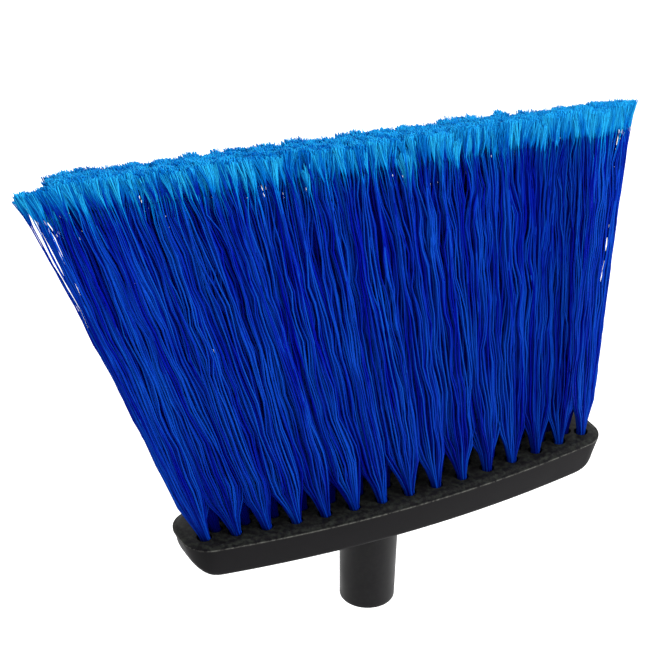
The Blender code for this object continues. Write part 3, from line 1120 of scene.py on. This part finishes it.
        # One column of the map for each filament, with the root below and the hairs above
        inner = add(Kind.TIMES_PLUS, self.around, *self.MAP_WIDTH)
        column = add(Kind.OVER, add(Kind.PLUS, self.filament, inner), "Filaments")
        height = add(Kind.RANGE, self.along, *self.MAP_HEIGHT)
        spot = add(Kind.XYZ, column, height, 0.0)
        skin = add(Kind.STORE, skin, None, "OFBake", spot, data_type="FLOAT2", domain="CORNER")
        for name in ("filament", "hair", "order", "around"):
            skin = add("GeometryNodeRemoveAttribute", skin, name)
        return skin


class StapleMaker(NodeMaker):
    """Sets a flattened, slightly bowed piece of wire across the floor of each tuft hole."""

    def __init__(self, finish: bpy.types.Material) -> None:
        """Build the tree.

        Args:
            finish: Material of the wire.
        """
        super().__init__("tuft_staples", {
            "Finish": finish, "Length": 6.2 * MM, "Bow": 0.5 * MM, "Rise": 1.2 * MM,
            "Wire Width": 1.5 * MM, "Wire Thickness": 0.5 * MM, "Wire Edge": 0.12 * MM,
            "Steps": 7,
        })
        add = self.add
        half = add(Kind.TIMES, "Length", 0.5)
        start = add(Kind.XYZ, add(Kind.TIMES, half, -1.0), 0.0, 0.0)
        wire = add("GeometryNodeCurvePrimitiveLine", start, add(Kind.XYZ, half, 0.0, 0.0))
        wire = add("GeometryNodeResampleCurve", wire, None, "Steps")
        arch = add(Kind.SINE, add(Kind.TIMES, add(Kind.FACTOR), math.pi))
        height = add(Kind.TIMES_PLUS, arch, "Bow", "Rise")
        lift = add(Kind.XYZ, 0.0, 0.0, height)
        wire = add("GeometryNodeSetPosition", wire, None, None, lift)
        profile = add("GeometryNodeCurvePrimitiveQuadrilateral", "Wire Thickness", "Wire Width")
        profile = add("GeometryNodeFilletCurve", profile, None, "Wire Edge")
        bar = add(Kind.SWEEP, wire, profile, None, True)
        lean = add("GeometryNodeInputNamedAttribute", "lean", data_type="FLOAT_VECTOR")
        turn = add("FunctionNodeAlignRotationToVector", None, None, lean, axis="Z")
        floors = self.given["Geometry"]
        self.end(add("GeometryNodeInstanceOnPoints", floors, None, bar, None, None, turn))


class ThreadMaker(NodeMaker):
    """Winds a screw thread's ridge up a bore."""

    FADE = 0.06
    END_SIZE = 0.15

    def __init__(self, finish: bpy.types.Material) -> None:
        """Build the tree.

        Args:
            finish: Material of the ridge.
        """
        super().__init__("socket_thread", {
            "Finish": finish, "Bore Radius": 9.6 * MM, "Thread Height": 24 * MM,
            "Thread Start": 4 * MM, "Turns": 4.7, "Steps": 40, "Root Width": 2.6 * MM,
            "Crest Width": 1.5 * MM, "Ridge": 1.25 * MM, "Seat": 0.15 * MM,
        })
        add = self.add
        path = add(
            "GeometryNodeCurveSpiral", "Steps", "Turns", *["Bore Radius"] * 2, "Thread Height"
        )
        lift = add(Kind.XYZ, 0.0, 0.0, "Thread Start")
        path = add("GeometryNodeSetPosition", path, None, None, lift)
        tall = add(Kind.PLUS, "Ridge", "Seat")
        profile = add(
            "GeometryNodeCurvePrimitiveQuadrilateral", None, tall, "Root Width", "Crest Width",
            0.0, mode="TRAPEZOID",
        )
        # The ends run out into the bore's wall
        factor = add(Kind.FACTOR)
        start = add(Kind.RANGE, factor, 0.0, self.FADE, self.END_SIZE, 1.0)
        stop = add(Kind.RANGE, factor, 1 - self.FADE, 1.0, 1.0, self.END_SIZE)
        self.end(add(Kind.SWEEP, path, profile, add(Kind.TIMES, start, stop), True))


# Sub-assemblies


@dataclass
class BlockMoulding:
    """The block: a drafted moulding with a rim, a raised face and a hole for each tuft."""

    bed: Bed
    finish: bpy.types.Material
    thickness: float = 19.6 * MM
    half_length: float = 111.5 * MM
    half_depth: float = 25.8 * MM
    plan_radius: float = 13.4 * MM
    wall_draft: float = 3.3 * MM
    end_radius: float = 12.8 * MM
    lower_edge: float = 3.1 * MM
    ledge_width: float = 2.6 * MM
    face_rise: float = 1.1 * MM
    face_edge: float = 0.8 * MM
    rim_edge: float = 0.5 * MM
    rim_wear_and_highlight: tuple[float, ...] = (0.2, 0.1, 0.0)
    # Rings over the parting line, whose trace is proud of the wall: inset, height from it,
    # wear with painted highlight, and exposure
    trace: tuple[tuple[float, float, float, float], ...] = (
        (0.0, -0.7 * MM, 0.0, 0.0), (0.0, -0.22 * MM, 0.25, 0.2),
        (-0.04 * MM, -0.08 * MM, 1.0, 0.4), (-0.04 * MM, 0.08 * MM, 1.0, 0.6),
    )
    lip_width: float = 0.35 * MM
    lip_depth: float = 0.4 * MM
    # Heights over the face at which a cutter's lip is widest and at which it stops
    cutter_heights: tuple[float, float] = (0.1 * MM, 2 * MM)
    hole_sides: int = 20
    side_steps: int = 96
    corner_steps: int = 16
    lower_steps: int = 6
    slope_steps: int = 6
    closeness: float = 0.01 * MM
    sharp: float = 32.0

    def build(self) -> None:
        """Build the block and cut its holes."""
        shell = new_object("block_shell", finish_mesh("block_shell", self._shell()))
        cutter = new_object("hole_cutter", finish_mesh("hole_cutter", self._hole_cutters()))
        modifier = shell.modifiers.new("holes", "BOOLEAN")
        modifier.operation = "DIFFERENCE"
        modifier.solver = "EXACT"
        modifier.object = cutter
        mesh = apply_modifier(shell, modifier)
        bpy.data.objects.remove(cutter, do_unlink=True)
        # The cut left new corners on the face without their exposure
        exposed = mesh.attributes["exposed"].data
        for vertex in mesh.vertices:
            if vertex.co.z > self.bed.face_height - self.closeness:
                exposed[vertex.index].value = 1.0
        shade_mesh(mesh, self.finish, self.sharp)
        place_piece("block_moulding", mesh, Slot.BLOCK, ("block",))

    def _half_outline(self, inset: float) -> list[tuple[float, float]]:
        """Back half of the outline from the -X end to the +X end, drawn in by an inset.

        Args:
            inset: How far it is drawn in.

        Returns:
            Corners of that half.
        """
        bow, half_bed = self.bed.bow, self.bed.end_column * self.bed.pitch
        corner_x = self.half_length - self.plan_radius
        radius = self.plan_radius - inset
        half_steps = self.side_steps // 2
        right = []
        for step in range(half_steps + 1):
            x = corner_x * step / half_steps
            lean = math.atan(-2 * bow * x / half_bed ** 2)
            y = self.half_depth - bow * (x / half_bed) ** 2 - self.plan_radius
            right.append((x - radius * math.sin(lean), y + radius * math.cos(lean)))
        right.pop()
        for step in range(self.corner_steps + 1):
            angle = (math.pi / 2 + lean) * (1 - step / self.corner_steps)
            right.append((x + radius * math.cos(angle), y + radius * math.sin(angle)))
        return [(-x, y) for x, y in reversed(right[1:])] + right

    def _lift(self, x: float) -> float:
        """How far the underside has risen at a distance from the middle.

        Args:
            x: The distance, to either side.

        Returns:
            The rise.
        """
        flat = self.half_length - self.wall_draft - self.end_radius
        past = min(max(abs(x) - flat, 0.0), self.end_radius)
        return self.end_radius - math.sqrt(self.end_radius ** 2 - past ** 2)

    def _rings(self) -> list[tuple[float, float, bool, float, float]]:
        """List the rings, lowest first.

        Returns:
            Inset, height, whether the height is over the underside, wear with painted
            highlight, and exposure.
        """
        rings = [
            (self.lower_edge * left, self.lower_edge * grown, True, 0.0, 0.0)
            for grown, left in quarter_round(self.lower_steps)
        ]
        parting = -self.face_rise - self.rim_edge
        for inset, height, wear_highlight_share, open_share in self.trace:
            rings.append((inset, parting + height, False, wear_highlight_share, open_share))
        rim = quarter_round(len(self.rim_wear_and_highlight))[1:]
        for wear_highlight_share, (grown, left) in zip(self.rim_wear_and_highlight, rim):
            height = -self.face_rise - self.rim_edge * left
            rings.append((self.rim_edge * grown, height, False, wear_highlight_share, 1.0))
        slope = self.ledge_width + self.face_edge - self.rim_edge
        for step in range(1, self.slope_steps + 1):
            share = step / self.slope_steps
            height = -self.face_rise * (1 - share * share * (3 - 2 * share))
            rings.append((self.rim_edge + slope * share, height, False, 0.0, 1.0))
        return rings

    def _shell(self) -> bmesh.types.BMesh:
        """Loft the rings and close both ends.

        Returns:
            The closed form.
        """
        builder = bmesh.new()
        wear_and_highlight = builder.verts.layers.float.new("wear_and_highlight")
        exposed = builder.verts.layers.float.new("exposed")
        loops = []
        underside = self.bed.face_height - self.thickness
        for inset, height, follows_underside, wear_highlight_share, open_share in self._rings():
            back = []
            for low, high in zip(
                self._half_outline(self.wall_draft + inset), self._half_outline(inset)
            ):
                lift = self._lift(low[0]) if follows_underside else self.thickness
                x, y = Vector(low).lerp(Vector(high), lift / self.thickness)
                back.append(Vector((self.bed.offset + x, y, underside + lift + height)))
            front = [spot * Vector((1.0, -1.0, 1.0)) for spot in reversed(back)]
            loop = [builder.verts.new(spot) for spot in back + front]
            for vertex in loop:
                vertex[wear_and_highlight], vertex[exposed] = wear_highlight_share, open_share
            loops.append(loop)
        bridge(builder, loops)
        half = len(loops[0]) // 2
        back, front = loops[0][:half], loops[0][:half - 1:-1]
        for index in range(half - 1):
            builder.faces.new((back[index], back[index + 1], front[index + 1], front[index]))
        builder.faces.new(loops[-1])
        return builder

    def _hole_cutters(self) -> bmesh.types.BMesh:
        """Turn a cutter with a small lip for each tuft hole.

        Returns:
            The cutters.
        """
        builder = bmesh.new()
        radius = self.bed.hole_radius
        lip = radius + self.lip_width
        profile = [(radius, -self.bed.hole_depth), (radius, -self.lip_depth)]
        profile += [(lip, height) for height in self.cutter_heights]
        for tuft in self.bed.tufts():
            turn_profile(builder, profile, self.hole_sides, self.bed.frame(tuft))
        return builder


@dataclass
class HandleSocket:
    """The handle socket: a turned tube under the block, with a thread in its bore."""

    finish: bpy.types.Material
    length: float = 45.9 * MM
    bore_radius: float = 9.6 * MM
    bore_depth: float = 34 * MM
    bore_chamfer: float = 0.6 * MM
    wall: float = 3.75 * MM
    taper: float = 0.75 * MM
    fillet: float = 2 * MM
    mouth_edge: float = 1 * MM
    floor_edge: float = 0.5 * MM
    seat: float = 0.2 * MM
    # How far the mouth's wear reaches up its outside and across its face, and how much it is
    # on the outer edge, the face and the chamfer
    worn_up: float = 0.8 * MM
    worn_across: float = 0.3 * MM
    edge_wear: float = 0.12
    face_wear: float = 0.1
    chamfer_wear: float = 0.25
    exposure: float = 0.15
    sides: int = 96
    fillet_steps: int = 6
    edge_steps: int = 4
    sharp: float = 35.0

    def build(self) -> None:
        """Build the tube and its thread."""
        builder = bmesh.new()
        exposed = builder.verts.layers.float.new("exposed")
        wear_and_highlight = builder.verts.layers.float.new("wear_and_highlight")
        profile = self._profile()
        loops = turn_profile(builder, [corner[:2] for corner in profile], self.sides)
        for loop, (_, _, wear_highlight_share) in zip(loops, profile):
            for vertex in loop:
                vertex[wear_and_highlight], vertex[exposed] = wear_highlight_share, self.exposure
        mesh = finish_mesh("socket", builder)
        shade_mesh(mesh, self.finish, self.sharp)
        place_piece("socket_moulding", mesh, Slot.BLOCK, ("handle_socket",))
        thread = ThreadMaker(self.finish).grow({"Bore Radius": self.bore_radius})
        place_piece("socket_thread", thread, Slot.BLOCK)

    def _profile(self) -> list[tuple[float, float, float]]:
        """List the corners from the top, down the outside and up the bore.

        Returns:
            Radius, height and wear of each corner.
        """
        mouth = self.bore_radius + self.wall
        root = mouth + self.taper
        chamfered = self.bore_radius + self.bore_chamfer
        fillet = [
            (root + self.fillet * left, self.length - self.fillet * grown, 0.0)
            for grown, left in quarter_round(self.fillet_steps)
        ]
        edge = [
            (mouth - self.mouth_edge * grown, self.mouth_edge * left, self.edge_wear)
            for grown, left in quarter_round(self.edge_steps)
        ]
        return [
            (root + self.fillet, self.length + self.seat, 0.0),
            *fillet,
            (mouth, self.mouth_edge + self.worn_up, 0.0),
            *edge,
            (chamfered + self.worn_across, 0.0, self.face_wear),
            (chamfered, 0.0, self.chamfer_wear),
            (self.bore_radius, self.bore_chamfer, 0.0),
            (self.bore_radius, self.bore_depth - self.floor_edge, 0.0),
            (self.bore_radius - self.floor_edge, self.bore_depth, 0.0),
        ]


@dataclass
class Staples:
    """The wire staples that hold the folded tufts at the floors of their holes."""

    bed: Bed
    finish: bpy.types.Material

    def build(self) -> None:
        """Set one staple in each hole."""
        floors = bpy.data.meshes.new("hole_floors")
        places, leans = [], []
        for tuft in self.bed.tufts():
            place = self.bed.frame(tuft)
            places.append(place @ Vector((0.0, 0.0, -self.bed.hole_depth)))
            leans.extend(place.to_3x3() @ UP)
        floors.from_pydata(places, [], [])
        floors.attributes.new("lean", "FLOAT_VECTOR", "POINT").data.foreach_set("vector", leans)
        mesh = StapleMaker(self.finish).grow({}, floors)
        place_piece("tuft_staples", mesh, Slot.STAPLE)


@dataclass
class Bristles:
    """The tufts: one piece of filaments for each tuft of the CAD model."""

    bed: Bed
    finish: bpy.types.Material
    filaments: int = 84
    more_at_ends: float = 0.5
    end_curve: int = 4
    root_gap: float = 1.1 * MM
    root_shade: float = 0.9
    seed: int = 3
    seed_step: int = 17

    def build(self) -> None:
        """Grow every tuft."""
        maker = FilamentMaker(self.bed, self.finish)
        room = self.bed.hole_radius - self.root_gap
        for number, tuft in enumerate(self.bed.tufts()):
            crowd = 1 + self.more_at_ends * self.bed.bowed(tuft.column) ** self.end_curve
            mesh = maker.grow({
                "Filaments": round(self.filaments * crowd),
                "Root Shade": self.root_shade if abs(tuft.row) < 1 else 0.0,
                "Seed": self.seed + number * self.seed_step,
                "Column": tuft.column,
                "Row": tuft.row,
                "Root Columns": room / self.bed.pitch,
                "Root Rows": room / self.bed.depth(tuft.column),
            })
            place_piece(tuft.piece_name, mesh, Slot.FILAMENT, (tuft.node,))


@dataclass
class Studio:
    """Plain pale floor, soft light and the photograph's camera."""

    floor_drop: float = 250 * MM
    floor_reach: float = 6.0
    floor_grey: float = 0.8
    soft_light: float = 0.6
    camera_place: tuple[float, float, float] = (-0.4196, -0.7566, 0.6520)
    yaw: float = 0.4818
    pitch: float = 0.5273
    roll: float = 0.0162
    lens: float = 120.9
    sensor: float = 36.0
    lift: float = 0.0027
    clip: tuple[float, float] = (0.05, 20.0)
    middle: tuple[float, float, float] = (-0.02, 0.0, 0.13)
    # Name, place, width and power of each lamp
    lamps: tuple[tuple[str, tuple[float, float, float], float, float], ...] = (
        ("key", (0.9, -1.1, 1.1), 0.8, 10.5),
        ("front", (-0.1, -1.6, 0.9), 1.0, 6.0),
        ("side", (1.5, -0.7, 0.8), 1.0, 9.0),
        ("top", (0.6, 0.2, 1.5), 1.2, 9.0),
        ("back", (0.1, 1.5, 0.9), 1.0, 7.0),
    )

    def build(self) -> None:
        """Set up the world, the floor, the lamps and the camera."""
        bpy.context.scene.view_settings.view_transform = "Standard"
        self._world()
        self._floor()
        self._lamps()
        self._camera()

    def _background_rays(self, add: Callable[..., bpy.types.Node]) -> bpy.types.Node:
        """Add a mask of the rays that should see a plain white background.

        Args:
            add: What adds a node to the tree.

        Returns:
            The node with the mask.
        """
        path = add("ShaderNodeLightPath").outputs
        seen = add(Kind.LARGEST, path["Is Camera Ray"], path["Is Glossy Ray"])
        return add(Kind.LARGEST, seen, path["Is Transmission Ray"])

    def _world(self) -> None:
        """White to the camera, and a softer light on the object."""
        world = bpy.data.worlds.new("studio")
        bpy.context.scene.world = world
        world.use_nodes = True
        world.node_tree.nodes.clear()
        add = partial(add_node, world.node_tree)
        soft, white = (
            add("ShaderNodeBackground", WHITE, strength) for strength in (self.soft_light, 1.0)
        )
        mix = add("ShaderNodeMixShader", self._background_rays(add), soft, white)
        add("ShaderNodeOutputWorld", mix)

    def _floor(self) -> None:
        """Lay a wide pale floor under the object."""
        mesh = bpy.data.meshes.new("floor")
        corners = [(x * self.floor_reach, y * self.floor_reach, 0.0)
                   for x, y in ((-1, -1), (1, -1), (1, 1), (-1, 1))]
        mesh.from_pydata(corners, [], [(0, 1, 2, 3)])
        floor = new_object("floor", mesh)
        floor.location.z = -self.floor_drop
        add, _, material = start_material("pale_floor")
        material.node_tree.nodes.clear()
        grey = (self.floor_grey, self.floor_grey, self.floor_grey, 1.0)
        matt = add("ShaderNodeBsdfDiffuse", grey)
        dark, glow = (
            add("ShaderNodeEmission", WHITE, strength) for strength in (0.0, self.soft_light)
        )
        lit = add("ShaderNodeMixShader", self._background_rays(add), dark, glow)
        add("ShaderNodeOutputMaterial", add("ShaderNodeAddShader", matt, lit))
        mesh.materials.append(material)

    def _lamps(self) -> None:
        """Hang the soft lamps, each turned to the middle of the object."""
        for name, place, size, power in self.lamps:
            lamp = bpy.data.lights.new(name, "AREA")
            lamp.shape = "DISK"
            lamp.size = size
            lamp.energy = power
            holder = new_object(name, lamp)
            holder.location = place
            away = Vector(self.middle) - Vector(place)
            holder.rotation_euler = away.to_track_quat("-Z", "Y").to_euler()

    def _camera(self) -> None:
        """Place the camera as the photograph's was."""
        camera = bpy.data.cameras.new("camera")
        camera.lens = self.lens
        camera.sensor_width = self.sensor
        camera.shift_y = self.lift
        camera.clip_start, camera.clip_end = self.clip
        ahead = Vector((
            math.sin(self.yaw) * math.cos(self.pitch),
            math.cos(self.yaw) * math.cos(self.pitch),
            -math.sin(self.pitch),
        ))
        right = Vector((math.cos(self.yaw), -math.sin(self.yaw), 0.0))
        up = right.cross(ahead)
        turned_right = math.cos(self.roll) * right + math.sin(self.roll) * up
        turned_up = math.cos(self.roll) * up - math.sin(self.roll) * right
        turn = Matrix((turned_right, turned_up, -ahead)).transposed().to_4x4()
        holder = new_object("camera", camera)
        holder.matrix_world = Matrix.Translation(self.camera_place) @ turn
        bpy.context.scene.camera = holder


def main() -> None:
    """Build the broom head and its studio."""
    logging.basicConfig(level=logging.INFO, format="%(name)s: %(message)s")
    bed = Bed()
    plastic = MouldedPolypropylene("moulded_black_polypropylene").make()
    # The core pin and sleeve of the socket are polished, so it has a little more sheen
    smoother_plastic = MouldedPolypropylene(
        "moulded_black_polypropylene_smooth", specular=0.11, roughness=0.44
    ).make()
    BlockMoulding(bed, plastic).build()
    HandleSocket(smoother_plastic).build()
    Staples(bed, DrawnSteelWire().make()).build()
    Bristles(bed, FlaggedPolypropylene().make()).build()
    Studio().build()


if __name__ == "__main__":
    main()
